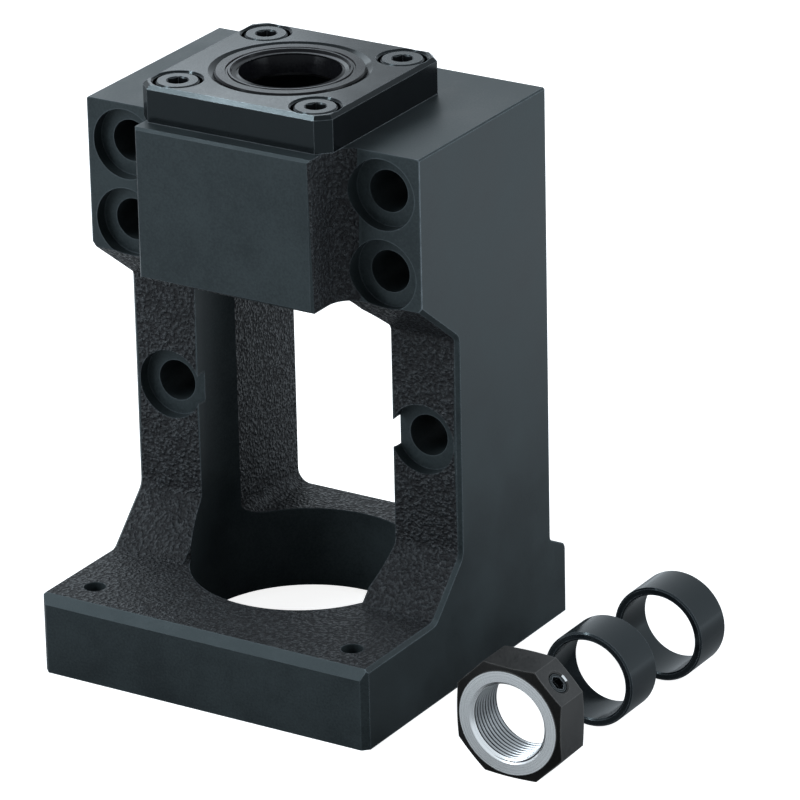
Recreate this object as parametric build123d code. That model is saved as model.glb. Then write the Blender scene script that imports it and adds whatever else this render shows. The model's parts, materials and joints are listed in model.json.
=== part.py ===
from build123d import *

import os
from math import cos, radians, sin, sqrt, tan

# A ball screw's motor bracket, stood on its motor flange. One iron casting joins the square motor flange
# to the bearing head. Two angular contact ball bearings sit in the head between two lip seals, under a
# screwed lid. The lock nut and the two spacer collars for the screw's end lie beside the casting.
#
# Sizes are in millimetres. The origin is the centre of the motor's pilot bore, at the face that the motor
# bolts to. Z runs along the screw. -Y is the front, where the mounting screws go in, and the flat back at
# +Y bolts to the machine.

# Motor flange
MOTOR_PCD = 130.0
MOTOR_TAP_R = 3.4
MOTOR_TAP_DEPTH = 22.0
MOTOR_PILOT_R = 47.5
MOTOR_PILOT_DEPTH = 3.0
FLANGE_SIDE = 116.0
FLANGE_T = 26.0
FLANGE_CORNER = 2.0
FRONT_BEVEL_OUT = 1.7
FRONT_BEVEL_DOWN = 3.5
SIDE_BEVEL = 1.2

# The chamber for the shaft coupling, and the window that opens it front and back
CHAMBER_R = 35.0
WINDOW_HALF = 32.0
WINDOW_TOP_R = 3.0
SILL_ABOVE_FLANGE = 3.0
SILL_CORNER_R = 4.5
SILL_BEVEL = 2.0

# The side outline of the casting
BACK_Y = 49.0
LEG_FRONT_Y = -3.0
EAR_Y = -22.4
BLOCK_Y = -38.4
BLOCK_HALF = 30.5
HEAD_Z = 126.4
SLOPE_DROP = 14.9
SLOPE_FOOT_R = 3.0
GUSSET = 15.5
GUSSET_R = 4.0
LEDGE_Z = 27.0
LEDGE_FALL = 4.4
LEDGE_ROOT_R = 2.0
LEDGE_EDGE_R = 3.0
BLOCK_ROOT_R = 7.5
BLOCK_EDGE = 0.8
HEAD_EDGE = 0.5

# Mounting holes through the ears and the legs
MOUNT_X = 45.0
MOUNT_HOLE_R = 6.5
SPOTFACE_R = 11.0
SPOTFACE_DEPTH = 4.0
EAR_HOLE_ABOVE_HEAD_Z = 9.6
EAR_HOLE_PITCH = 25.0
LEG_HOLE_Z = 77.0

# Bearings
BEARING_BORE_R = 12.5
BEARING_OUTER_R = 26.0
BEARING_W = 15.0
BEARING_CORNER = 0.5
BALL_R = 3.969
BALL_COUNT = 13
BALL_CLEARANCE = 0.08
SHOULDER_FROM_PITCH = 2.55
OPEN_SHOULDER = 0.9
INNER_FACE_RELIEF = 0.1
CAGE_GAP = 1.1
CAGE_W = 11.0
CAGE_CLEARANCE = 0.15
BEARING_WEB_T = 3.6
BEARING_LEDGE = 6.0

# Lid
LID_SIDE = 66.0
LID_T = 11.5
LID_CORNER = 4.0
LID_EDGE = 1.2
SPIGOT_H = 6.0
SPIGOT_CLEARANCE = 0.05

# Lid screws, with threads taken as plain cylinders at their pitch diameter
LID_SCREW_HALF = 24.0
LID_SCREW_R = 4.0
LID_SCREW_PITCH_R = 3.59
LID_SCREW_REACH = 16.0
LID_SCREW_HEAD_R = 6.5
LID_SCREW_HEAD_H = 5.0
LID_SCREW_HEX = 6.0
LID_SCREW_HEX_DEPTH = 3.0
LID_SCREW_SINK = 0.2
LID_SCREW_CBORE_R = 7.4
CBORE_EDGE = 0.6
SCREW_EDGE = 0.5
THREAD_CLEARANCE = 0.03
DRILL_SPARE = 3.0

# Lip seals
SEAL_R = 22.5
SEAL_W = 8.0
SEAL_MOUTH_R = 24.4
SEAL_MOUTH_DEPTH = 1.0
SEAL_EDGE_IN = 0.4
SEAL_EDGE_DOWN = 0.6
FACE_T = 1.6
FACE_GROOVE_R = 18.95
FACE_GROOVE_TOP_HALF = 0.45
FACE_GROOVE_FLOOR_HALF = 0.25
FACE_GROOVE_DEPTH = 0.4
FACE_INNER_R = 17.9
FACE_STEP_IN = 0.5
FACE_STEP_DOWN = 0.7
DUST_LIP_R = 15.4
DUST_LIP_ROOT = 0.8
DUST_LIP_ROOT_DEPTH = 0.9
DUST_LIP_TIP_DEPTH = 0.6
DUST_LIP_TIP_T = 0.5
MAIN_LIP_R = 14.2
MAIN_LIP_DEPTH = 6.3
MAIN_LIP_LAND = 0.6
MAIN_LIP_FALL = 0.9
LIP_BACK_R = 16.1
LIP_BACK_FALL = 1.1
LIP_BACK_OVER_GARTER = 1.4
CASE_T = 1.0
CASE_INSET = 0.9
CASE_INNER_R = 17.6
SKIN_T = 0.6
GARTER_R = 16.45
GARTER_WIRE_R = 0.75
GARTER_DEPTH = 6.0
GARTER_CLEARANCE = 0.03

# Lock nut and spacer collars
NUT_HEX = 35.0
NUT_W = 15.0
NUT_THREAD_MINOR_R = 11.69
NUT_THREAD_MAJOR_R = 12.5
NUT_MOUTH = 0.4
NUT_FACE_R = 17.4
NUT_CONE_ANGLE = 30.0
SET_SCREW_ANGLES = (30.0, 150.0)
SET_SCREW_R = 2.67
SET_SCREW_MOUTH = 0.7
SET_SCREW_LENGTH = 3.6
SET_SCREW_EDGE = 0.23
SET_SCREW_SINK = 0.5
SET_SCREW_HEX = 3.0
SET_SCREW_HEX_DEPTH = 2.0
PAD_T = 1.2
COLLAR_OUTER_R = 15.0
COLLAR_W = 15.0
COLLAR_EDGE = 0.5
NUT_PLACE = (102.9, -52.4)
COLLAR_PLACES = ((105.7, -10.5), (107.9, 27.5))

# Sizes that follow from those above
HALF = FLANGE_SIDE / 2
SILL_Z = FLANGE_T + SILL_ABOVE_FLANGE
LEG_TOP_Z = HEAD_Z - SLOPE_DROP
BALL_PITCH_R = (BEARING_BORE_R + BEARING_OUTER_R) / 2
INNER_SHOULDER_R = BALL_PITCH_R - SHOULDER_FROM_PITCH
OUTER_SHOULDER_R = BALL_PITCH_R + SHOULDER_FROM_PITCH
LEDGE_R = BEARING_OUTER_R - BEARING_LEDGE
LOWER_BEARING_Z = HEAD_Z + SEAL_W + BEARING_WEB_T
UPPER_BEARING_Z = LOWER_BEARING_Z + BEARING_W
HEAD_TOP = UPPER_BEARING_Z + BEARING_W + SPIGOT_H
LID_TOP = HEAD_TOP + LID_T
EAR_HOLE_Z = HEAD_Z + EAR_HOLE_ABOVE_HEAD_Z
MOTOR_HOLE = MOTOR_PCD / 2 / sqrt(2)
LID_SCREW_TOP = LID_TOP - LID_SCREW_SINK
LID_SCREW_SEAT = LID_SCREW_TOP - LID_SCREW_HEAD_H
SQUARE = ((-1, -1), (1, -1), (1, 1), (-1, 1))

# How far a cut runs past a face, and how near counts as on a plane when edges are picked
OVER = 1.0
NEAR = 0.1


def rod(radius, low, high):
    """A cylinder about the Z axis from one height to another."""
    return Pos(0, 0, low) * Cylinder(radius, high - low, align=(Align.CENTER, Align.CENTER, Align.MIN))


def tube(outer, inner, low, high):
    """A plain ring about the Z axis."""
    return rod(outer, low, high) - rod(inner, low - OVER, high + OVER)


def flare(radius, edge, low, high, narrow_low=True):
    """A cone that bevels the mouth of a bore about the Z axis, wide at its mouth."""
    bottom = radius if narrow_low else radius + edge
    top = radius + edge if narrow_low else radius
    cone = Cone(bottom, top, high - low, align=(Align.CENTER, Align.CENTER, Align.MIN))
    return Pos(0, 0, low) * cone


def turned(*points):
    """A solid of revolution from an outline of radius and height."""
    outline = make_face(Polyline(*points, close=True))
    return revolve(Plane.XZ * outline, axis=Axis.Z)


def rounded(outline, *corners):
    """Round the corners of a flat outline that lie nearest the given places."""
    for place, radius in corners:
        corner = outline.vertices().sort_by_distance(Vector(*place, 0))[0]
        outline = fillet(corner, radius)
    return outline


def along_y(solid, x, y, z):
    """Lay a solid made about the Z axis along +Y, with its base at the given place."""
    return Pos(x, y, z) * Rot(-90, 0, 0) * solid


def side_outline():
    """The casting's outline seen from the side, in Y and Z."""
    points = (
        (-HALF, 0),
        (HALF, 0),
        (HALF, LEDGE_Z - LEDGE_FALL),
        (BACK_Y, LEDGE_Z),
        (BACK_Y, HEAD_TOP),
        (EAR_Y, HEAD_TOP),
        (EAR_Y, HEAD_Z),
        (LEG_FRONT_Y, LEG_TOP_Z),
        (LEG_FRONT_Y, FLANGE_T + GUSSET),
        (LEG_FRONT_Y - GUSSET, FLANGE_T),
        (FRONT_BEVEL_OUT - HALF, FLANGE_T),
        (-HALF, FLANGE_T - FRONT_BEVEL_DOWN),
    )
    return rounded(
        make_face(Polyline(*points, close=True)),
        ((HALF, LEDGE_Z - LEDGE_FALL), LEDGE_EDGE_R),
        ((BACK_Y, LEDGE_Z), LEDGE_ROOT_R),
        ((LEG_FRONT_Y, LEG_TOP_Z), SLOPE_FOOT_R),
        ((LEG_FRONT_Y, FLANGE_T + GUSSET), GUSSET_R),
        ((LEG_FRONT_Y - GUSSET, FLANGE_T), GUSSET_R),
    )


def window(bottom, bottom_r, front, back):
    """The opening between the legs, from one Y to another."""
    outline = make_face(Polyline(
        (-WINDOW_HALF, bottom),
        (WINDOW_HALF, bottom),
        (WINDOW_HALF, HEAD_Z),
        (-WINDOW_HALF, HEAD_Z),
        close=True,
    ))
    for side in (-1, 1):
        outline = rounded(outline, ((side * WINDOW_HALF, HEAD_Z), WINDOW_TOP_R))
        if bottom_r:
            outline = rounded(outline, ((side * WINDOW_HALF, bottom), bottom_r))
    return extrude(Plane.XZ.offset(-back) * outline, back - front)


def spotfaced_hole(x, z, face_y):
    """A mounting hole from the back to the front, with a spotface sunk in its front face."""
    hole = along_y(rod(MOUNT_HOLE_R, 0, BACK_Y - BLOCK_Y + OVER), x, BLOCK_Y, z)
    floor = face_y + SPOTFACE_DEPTH
    return hole + along_y(rod(SPOTFACE_R, 0, floor - BLOCK_Y), x, BLOCK_Y, z)


def motor_hole(x, y):
    """A tapped motor hole, at its tapping size: right through in front, blind under the legs."""
    if y < 0:
        return Pos(x, y) * rod(MOTOR_TAP_R, -OVER, FLANGE_T + OVER)
    point = MOTOR_TAP_R / sqrt(3)
    drill = rod(MOTOR_TAP_R, -OVER, MOTOR_TAP_DEPTH)
    tip = Cone(MOTOR_TAP_R, 0, point, align=(Align.CENTER, Align.CENTER, Align.MIN))
    return Pos(x, y) * (drill + Pos(0, 0, MOTOR_TAP_DEPTH) * tip)


def head_bores():
    """The turned bores of the bearing head: the lower seal's seat, the web and the bearings' bore."""
    seal_seat = rod(SEAL_R, HEAD_Z - OVER, HEAD_Z + SEAL_W)
    mouth = flare(SEAL_R, SEAL_MOUTH_DEPTH, HEAD_Z, HEAD_Z + SEAL_MOUTH_DEPTH, narrow_low=False)
    web_bore = rod(LEDGE_R, HEAD_Z, HEAD_TOP)
    bearing_bore = rod(BEARING_OUTER_R, LOWER_BEARING_Z, HEAD_TOP + OVER)
    return seal_seat + mouth + web_bore + bearing_bore


def on_plane(edges, axis, place):
    """The edges that lie at one place along an axis."""
    return edges.filter_by_position(axis, place - NEAR, place + NEAR)


def on_foot(edge):
    """Whether an edge of the side face runs over the front of the flange or up the gusset."""
    in_front = edge.center().Y < LEG_FRONT_Y and edge.center().Z > FLANGE_T - NEAR
    return in_front and edge.bounding_box().max.Z < FLANGE_T + GUSSET + GUSSET_R


def head_block():
    """The block that stands out of the head's front, with its front edges broken."""
    block = Pos(0, (BLOCK_Y + EAR_Y) / 2, (HEAD_Z + HEAD_TOP) / 2) * Box(
        2 * BLOCK_HALF, EAR_Y - BLOCK_Y, HEAD_TOP - HEAD_Z
    )
    return chamfer(block.faces().sort_by(Axis.Y)[0].edges(), BLOCK_EDGE)


def casting():
    """The casting before its bores and holes."""
    body = extrude(Plane.YZ * side_outline(), HALF, both=True) + head_block()
    roots = on_plane(body.edges().filter_by(Axis.Z), Axis.Y, EAR_Y)
    body = fillet(roots.filter_by_position(Axis.X, NEAR - HALF, HALF - NEAR), BLOCK_ROOT_R)
    body -= window(SILL_Z, SILL_CORNER_R, 0, BACK_Y + OVER)
    body -= window(FLANGE_T, 0, BLOCK_Y, 0)
    sill = on_plane(body.edges().filter_by(Axis.X), Axis.Z, SILL_Z)
    body = chamfer(on_plane(sill, Axis.Y, BACK_Y), SILL_BEVEL)
    body = chamfer(on_plane(body.edges().filter_by(Axis.Z), Axis.Y, -HALF), FLANGE_CORNER)
    sides = body.faces().filter_by(Axis.X).filter_by(lambda face: abs(face.center().X) > HALF - NEAR)
    rims = sides.edges()
    body = chamfer(rims.filter_by(on_foot), SIDE_BEVEL)
    rims = body.faces().filter_by(Axis.X).filter_by(lambda face: abs(face.center().X) > HALF - NEAR).edges()
    return chamfer(on_plane(rims, Axis.Z, HEAD_TOP), HEAD_EDGE)


def housing():
    """The one-piece iron casting, machined."""
    body = casting() - rod(CHAMBER_R, 0, HEAD_Z)
    body -= rod(MOTOR_PILOT_R, -OVER, MOTOR_PILOT_DEPTH)
    body -= head_bores()
    for x, y in SQUARE:
        body -= motor_hole(x * MOTOR_HOLE, y * MOTOR_HOLE)
        tapped = rod(LID_SCREW_PITCH_R, LID_SCREW_SEAT - LID_SCREW_REACH - DRILL_SPARE, HEAD_TOP + OVER)
        body -= Pos(x * LID_SCREW_HALF, y * LID_SCREW_HALF) * tapped
    for side in (-1, 1):
        body -= spotfaced_hole(side * MOUNT_X, LEG_HOLE_Z, LEG_FRONT_Y)
        for step in (0, 1):
            body -= spotfaced_hole(side * MOUNT_X, EAR_HOLE_Z + step * EAR_HOLE_PITCH, EAR_Y)
    return body


def bearing_lid():
    """The square lid: its spigot clamps the bearings, and its pocket seats the upper seal."""
    plate = Pos(0, 0, HEAD_TOP) * Box(
        LID_SIDE, LID_SIDE, LID_T, align=(Align.CENTER, Align.CENTER, Align.MIN)
    )
    plate = chamfer(plate.edges().filter_by(Axis.Z), LID_CORNER)
    plate = chamfer(plate.faces().sort_by(Axis.Z)[-1].edges(), LID_EDGE)
    lid = plate + rod(BEARING_OUTER_R - SPIGOT_CLEARANCE, HEAD_TOP - SPIGOT_H, HEAD_TOP)
    lid -= rod(LEDGE_R, HEAD_TOP - SPIGOT_H - OVER, LID_TOP)
    lid -= rod(SEAL_R, LID_TOP - SEAL_W, LID_TOP + OVER)
    lid -= flare(SEAL_R, SEAL_MOUTH_R - SEAL_R, LID_TOP - SEAL_MOUTH_DEPTH, LID_TOP)
    cut = rod(LID_SCREW_R + CBORE_EDGE, HEAD_TOP - OVER, LID_TOP)
    cut += rod(LID_SCREW_CBORE_R, LID_SCREW_SEAT, LID_TOP + OVER)
    cut += flare(LID_SCREW_CBORE_R, CBORE_EDGE, LID_TOP - CBORE_EDGE, LID_TOP)
    for x, y in SQUARE:
        lid -= Pos(x * LID_SCREW_HALF, y * LID_SCREW_HALF) * cut
    return lid


def hex_socket(across, low, high):
    """A hexagonal socket about the Z axis, with the drill's cone at its mouth."""
    outline = RegularPolygon(across / sqrt(3), 6)
    socket = Pos(0, 0, low) * extrude(outline, high - low)
    mouth_r = across / sqrt(3)
    return socket + flare(mouth_r - SCREW_EDGE, SCREW_EDGE, high - SCREW_EDGE, high)


def lid_screw():
    """A low-headed socket screw about the Z axis, at its height in the lid."""
    head = rod(LID_SCREW_HEAD_R, LID_SCREW_SEAT, LID_SCREW_TOP)
    head = chamfer(head.faces().sort_by(Axis.Z)[-1].edges(), SCREW_EDGE)
    shank = rod(LID_SCREW_R, HEAD_TOP, LID_SCREW_SEAT)
    thread = rod(LID_SCREW_PITCH_R - THREAD_CLEARANCE, LID_SCREW_SEAT - LID_SCREW_REACH, HEAD_TOP)
    return head + shank + thread - hex_socket(
        LID_SCREW_HEX, LID_SCREW_TOP - LID_SCREW_HEX_DEPTH, LID_SCREW_TOP
    )


def seal_place(solid, upper):
    """Put a seal part made with its face at zero and its depth downwards into its seat."""
    if upper:
        return Pos(0, 0, LID_TOP) * solid
    return Pos(0, 0, HEAD_Z) * Rot(180, 0, 0) * solid


def seal_case():
    """The pressed steel angle ring inside the seal."""
    outer = SEAL_R - CASE_INSET
    return turned(
        (CASE_INNER_R, -FACE_T),
        (outer, -FACE_T),
        (outer, -SEAL_W),
        (outer - CASE_T, -SEAL_W),
        (outer - CASE_T, -FACE_T - CASE_T),
        (CASE_INNER_R, -FACE_T - CASE_T),
    )


def seal_rubber():
    """The rubber body: its outer skin, stepped face, dust lip, and the main lip with its spring groove."""
    outer = SEAL_R - CASE_INSET
    skin = FACE_T + CASE_T + SKIN_T
    body = turned(
        (SEAL_R, -SEAL_W),
        (SEAL_R, -SEAL_EDGE_DOWN),
        (SEAL_R - SEAL_EDGE_IN, 0),
        (FACE_GROOVE_R + FACE_GROOVE_TOP_HALF, 0),
        (FACE_GROOVE_R + FACE_GROOVE_FLOOR_HALF, -FACE_GROOVE_DEPTH),
        (FACE_GROOVE_R - FACE_GROOVE_FLOOR_HALF, -FACE_GROOVE_DEPTH),
        (FACE_GROOVE_R - FACE_GROOVE_TOP_HALF, 0),
        (FACE_INNER_R, 0),
        (FACE_INNER_R - FACE_STEP_IN, -FACE_STEP_DOWN),
        (DUST_LIP_R + DUST_LIP_ROOT, -DUST_LIP_ROOT_DEPTH),
        (DUST_LIP_R, -DUST_LIP_TIP_DEPTH),
        (DUST_LIP_R, -DUST_LIP_TIP_DEPTH - DUST_LIP_TIP_T),
        (MAIN_LIP_R, -MAIN_LIP_DEPTH),
        (MAIN_LIP_R + MAIN_LIP_LAND, -MAIN_LIP_DEPTH - MAIN_LIP_FALL),
        (LIP_BACK_R, -MAIN_LIP_DEPTH - LIP_BACK_FALL),
        (LIP_BACK_R, LIP_BACK_OVER_GARTER - GARTER_DEPTH),
        (CASE_INNER_R - SKIN_T, -skin),
        (outer - CASE_T, -skin),
        (outer - CASE_T, -FACE_T - CASE_T),
        (CASE_INNER_R, -FACE_T - CASE_T),
        (CASE_INNER_R, -FACE_T),
        (outer, -FACE_T),
        (outer, -SEAL_W),
    )
    groove = Torus(GARTER_R, GARTER_WIRE_R + GARTER_CLEARANCE)
    return body - Pos(0, 0, -GARTER_DEPTH) * groove


def garter_spring():
    """The ring spring that loads the main lip."""
    return Pos(0, 0, -GARTER_DEPTH) * Torus(GARTER_R, GARTER_WIRE_R)


def beveled_ring(outer, inner, low, high, edge):
    """A ring with all four of its round edges beveled."""
    ring = tube(outer, inner, low, high)
    return chamfer(ring.edges().filter_by(GeomType.CIRCLE), edge)


def outer_ring(low, open_up):
    """An outer ring: its ball groove, with one low shoulder where the balls went in."""
    middle = low + BEARING_W / 2
    ring = beveled_ring(BEARING_OUTER_R, OUTER_SHOULDER_R, low, low + BEARING_W, BEARING_CORNER)
    start = middle if open_up else low - OVER
    ring -= rod(OUTER_SHOULDER_R + OPEN_SHOULDER, start, start + BEARING_W / 2 + OVER)
    return ring - Pos(0, 0, middle) * Torus(BALL_PITCH_R, BALL_R + BALL_CLEARANCE)


def inner_ring(low, relieve_top):
    """An inner ring, ground back a little on the face that meets its twin."""
    middle = low + BEARING_W / 2
    high = low + BEARING_W
    if relieve_top:
        high -= INNER_FACE_RELIEF
    ring = beveled_ring(INNER_SHOULDER_R, BEARING_BORE_R, low, high, BEARING_CORNER)
    return ring - Pos(0, 0, middle) * Torus(BALL_PITCH_R, BALL_R + BALL_CLEARANCE)


def ball_places(low):
    """Where the balls of one bearing stand round its pitch circle."""
    middle = low + BEARING_W / 2
    turn = radians(360 / BALL_COUNT)
    return [
        Pos(BALL_PITCH_R * cos(step * turn), BALL_PITCH_R * sin(step * turn), middle)
        for step in range(BALL_COUNT)
    ]


def cage(low):
    """The ball cage, with a round pocket for each ball."""
    middle = low + BEARING_W / 2
    outer = OUTER_SHOULDER_R - CAGE_GAP
    inner = INNER_SHOULDER_R + CAGE_GAP
    ring = tube(outer, inner, middle - CAGE_W / 2, middle + CAGE_W / 2)
    pocket = Cylinder(BALL_R + CAGE_CLEARANCE, 2 * BEARING_OUTER_R, rotation=(0, 90, 0))
    pocket -= Pos(-BEARING_OUTER_R, 0, 0) * Box(2 * BEARING_OUTER_R, 3 * BALL_R, 3 * BALL_R)
    for step in range(BALL_COUNT):
        ring -= Pos(0, 0, middle) * Rot(0, 0, 360 / BALL_COUNT * step) * pocket
    return ring


def lying(solid, place, radius):
    """Lay a ring made about the Z axis on the ground, its front face at the given X and Y."""
    return along_y(solid, place[0], place[1], radius)


def nut_radial(solid, angle):
    """Turn a part made about the Z axis to stand out of the nut's facet at the given angle."""
    across = Pos(NUT_PLACE[0], NUT_PLACE[1] + NUT_W / 2, NUT_HEX / 2) * Rot(0, 90 - angle, 0)
    return across * solid


def lock_nut():
    """The hexagonal lock nut, stood on a facet with its turned face to the front."""
    facet = NUT_HEX / 2
    corner_r = NUT_HEX / sqrt(3)
    drop = (corner_r - NUT_FACE_R) * tan(radians(NUT_CONE_ANGLE))
    nut = extrude(RegularPolygon(corner_r, 6), NUT_W) & turned(
        (0, 0),
        (NUT_FACE_R, 0),
        (corner_r, drop),
        (corner_r, NUT_W - drop),
        (NUT_FACE_R, NUT_W),
        (0, NUT_W),
    )
    mouth = NUT_THREAD_MAJOR_R + NUT_MOUTH - NUT_THREAD_MINOR_R
    nut -= rod(NUT_THREAD_MINOR_R, -OVER, NUT_W + OVER)
    nut -= flare(NUT_THREAD_MINOR_R, mouth, 0, mouth, narrow_low=False)
    nut -= flare(NUT_THREAD_MINOR_R, mouth, NUT_W - mouth, NUT_W)
    nut = lying(nut, NUT_PLACE, facet)
    hole = rod(SET_SCREW_R, 0, facet + OVER)
    hole += flare(SET_SCREW_R, SET_SCREW_MOUTH, facet - SET_SCREW_MOUTH, facet)
    for angle in SET_SCREW_ANGLES:
        nut -= nut_radial(hole, angle)
    return nut


def set_screw():
    """A set screw with a hexagonal socket, at its distance from the nut's axis."""
    top = NUT_HEX / 2 - SET_SCREW_SINK
    screw = rod(SET_SCREW_R - THREAD_CLEARANCE, top - SET_SCREW_LENGTH, top)
    screw = chamfer(screw.edges().filter_by(GeomType.CIRCLE), SET_SCREW_EDGE)
    socket = extrude(RegularPolygon(SET_SCREW_HEX / sqrt(3), 6), SET_SCREW_HEX_DEPTH)
    return screw - Pos(0, 0, top - SET_SCREW_HEX_DEPTH) * socket


def pad():
    """The soft pad that the set screw presses on the thread."""
    top = NUT_HEX / 2 - SET_SCREW_SINK - SET_SCREW_LENGTH
    return rod(SET_SCREW_R - THREAD_CLEARANCE, top - PAD_T, top)


def collar():
    """A spacer collar, made about the Z axis."""
    return beveled_ring(COLLAR_OUTER_R, BEARING_BORE_R, 0, COLLAR_W, COLLAR_EDGE)


def bracket_nodes():
    """Every piece by name."""
    nodes = {"housing": housing(), "bearing_lid": bearing_lid()}
    screw = lid_screw()
    for number, (x, y) in enumerate(SQUARE, 1):
        nodes[f"lid_screw_{number}"] = Pos(x * LID_SCREW_HALF, y * LID_SCREW_HALF) * screw
    for level, low, upper in (("lower", LOWER_BEARING_Z, False), ("upper", UPPER_BEARING_Z, True)):
        nodes[f"{level}_seal_rubber"] = seal_place(seal_rubber(), upper)
        nodes[f"{level}_seal_case"] = seal_place(seal_case(), upper)
        nodes[f"{level}_garter_spring"] = seal_place(garter_spring(), upper)
        nodes[f"{level}_outer_ring"] = outer_ring(low, upper)
        nodes[f"{level}_inner_ring"] = inner_ring(low, not upper)
        nodes[f"{level}_cage"] = cage(low)
        for number, place in enumerate(ball_places(low), 1):
            nodes[f"{level}_ball_{number:02d}"] = place * Sphere(BALL_R)
    for number, place in enumerate(COLLAR_PLACES, 1):
        nodes[f"spacer_collar_{number}"] = lying(collar(), place, COLLAR_OUTER_R)
    nodes["lock_nut"] = lock_nut()
    for number, angle in enumerate(SET_SCREW_ANGLES, 1):
        nodes[f"nut_set_screw_{number}"] = nut_radial(set_screw(), angle)
        nodes[f"nut_pad_{number}"] = nut_radial(pad(), angle)
    return nodes


os.makedirs("parts", exist_ok=True)
for name, solid in bracket_nodes().items():
    export_step(solid, f"parts/{name}.step")
    print(f"{name}: {solid.volume / 1000:.1f} cm3")
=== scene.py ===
# %% [markdown]
# # A ball screw's motor bracket
#
# The bracket comes from its CAD model as a fixed frame: every piece already has its real size and place.
# This notebook gives it its surfaces. The iron casting is rough, as sand left it, on its legs, its slopes
# and the top of its flange, and cut smooth and blackened on its outsides and wherever it meets another part.
# The shapes could be modelled here as well, but then they could drift from the real sizes.

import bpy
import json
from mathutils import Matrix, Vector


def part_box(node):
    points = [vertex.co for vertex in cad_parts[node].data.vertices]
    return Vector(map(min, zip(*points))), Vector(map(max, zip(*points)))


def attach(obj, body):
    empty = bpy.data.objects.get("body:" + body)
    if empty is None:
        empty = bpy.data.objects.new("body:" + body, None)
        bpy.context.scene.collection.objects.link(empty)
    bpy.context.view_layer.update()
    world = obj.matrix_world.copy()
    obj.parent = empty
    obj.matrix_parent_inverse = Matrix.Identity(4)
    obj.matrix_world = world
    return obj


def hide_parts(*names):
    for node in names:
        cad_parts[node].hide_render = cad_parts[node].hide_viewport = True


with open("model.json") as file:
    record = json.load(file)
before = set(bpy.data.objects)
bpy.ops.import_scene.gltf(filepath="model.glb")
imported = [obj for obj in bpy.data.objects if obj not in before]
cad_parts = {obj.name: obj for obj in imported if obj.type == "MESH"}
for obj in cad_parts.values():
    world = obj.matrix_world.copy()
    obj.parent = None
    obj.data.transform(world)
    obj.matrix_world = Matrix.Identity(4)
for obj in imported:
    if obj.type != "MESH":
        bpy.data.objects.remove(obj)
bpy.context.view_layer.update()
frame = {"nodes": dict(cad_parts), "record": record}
nodes = frame["nodes"]

# %% Blender's own modules, and millimetres
import json
from math import cos, pi, radians, sin, sqrt, tan

import bmesh
import bpy
from mathutils import Matrix, Vector

scene = bpy.context.scene
MM = 0.001
print("Blender", bpy.app.version_string, "works in metres, so a millimetre is", MM)

# %% [markdown]
# ## The camera
#
# A product picture like this is taken from a few metres away with a long lens, so upright edges stay almost
# parallel. Blender could track the camera to an empty, but a small roll is part of the picture too, so the
# camera's three axes are worked out from its azimuth, elevation and roll, and written as one matrix.

# %% Camera
AZIMUTH, ELEVATION, ROLL = radians(32.131), radians(22.394), radians(-1.249)
AIM = Vector((35.65, 0.0, 86.77)) * MM
DISTANCE = 1814.5 * MM
IMAGE_SIDE = 800
FOCAL_PIXELS = 6084.96
SENSOR = 36.0
FARTHEST = 20.0

forward = Vector((-sin(AZIMUTH) * cos(ELEVATION), cos(AZIMUTH) * cos(ELEVATION), -sin(ELEVATION)))
level_right = Vector((cos(AZIMUTH), sin(AZIMUTH), 0))
level_up = level_right.cross(forward)
right = cos(ROLL) * level_right + sin(ROLL) * level_up
up = cos(ROLL) * level_up - sin(ROLL) * level_right

camera = bpy.data.objects.new("camera", bpy.data.cameras.new("camera"))
scene.collection.objects.link(camera)
axes = Matrix((right, up, -forward)).transposed().to_4x4()
camera.matrix_world = Matrix.Translation(AIM - forward * DISTANCE) @ axes
camera.data.sensor_width = SENSOR
camera.data.lens = FOCAL_PIXELS * SENSOR / IMAGE_SIDE
camera.data.clip_end = FARTHEST
scene.camera = camera
scene.view_settings.view_transform = "Standard"
print("lens, mm:", round(camera.data.lens, 1))

# %% [markdown]
# ## Node helpers
#
# A material in Blender is a graph of nodes. It could be wired by hand in the node editor, or written out
# call by call at four lines a node. A few small helpers add a node and wire its inputs in one line instead,
# so that the code of each finish reads in the order in which the finish is laid on.

# %% Adding a node
def add_node(tree, kind, inputs=None, **settings):
    """Add a node, set its options, and wire or set its inputs by name or number."""
    node = tree.nodes.new(kind)
    for key, value in settings.items():
        setattr(node, key, value)
    for key, value in (inputs or {}).items():
        if isinstance(value, bpy.types.NodeSocket):
            tree.links.new(value, node.inputs[key])
        else:
            node.inputs[key].default_value = value
    return node


def math_node(tree, operation, first, second=0.0):
    return add_node(tree, "ShaderNodeMath", {0: first, 1: second}, operation=operation).outputs[0]


def vector_node(tree, operation, first, second=(0.0, 0.0, 0.0)):
    """Vector maths. A dot product and a length come out as a value, the rest as a vector."""
    node = add_node(tree, "ShaderNodeVectorMath", {0: first, 1: second}, operation=operation)
    return node.outputs["Value" if operation in ("DOT_PRODUCT", "LENGTH") else "Vector"]


print("made: add_node, math_node, vector_node")

# %% Patterns and colours
def noise(tree, place, scale, detail=2.0, roughness=0.5):
    """A 3-D noise, in blobs of about one over its scale, in metres."""
    inputs = {"Vector": place, "Scale": scale, "Detail": detail, "Roughness": roughness}
    return add_node(tree, "ShaderNodeTexNoise", inputs).outputs["Fac"]


def weighted(tree, *pairs):
    """The sum of values, each times its own weight."""
    total = math_node(tree, "MULTIPLY", *pairs[0])
    for value, weight in pairs[1:]:
        total = math_node(tree, "ADD", total, math_node(tree, "MULTIPLY", value, weight))
    return total


def remap(tree, value, low, high, to_low=0.0, to_high=1.0):
    """A clamped Map Range with smooth ends."""
    inputs = {"Value": value, "From Min": low, "From Max": high, "To Min": to_low, "To Max": to_high}
    node = add_node(tree, "ShaderNodeMapRange", inputs, interpolation_type="SMOOTHSTEP")
    return node.outputs["Result"]


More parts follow.
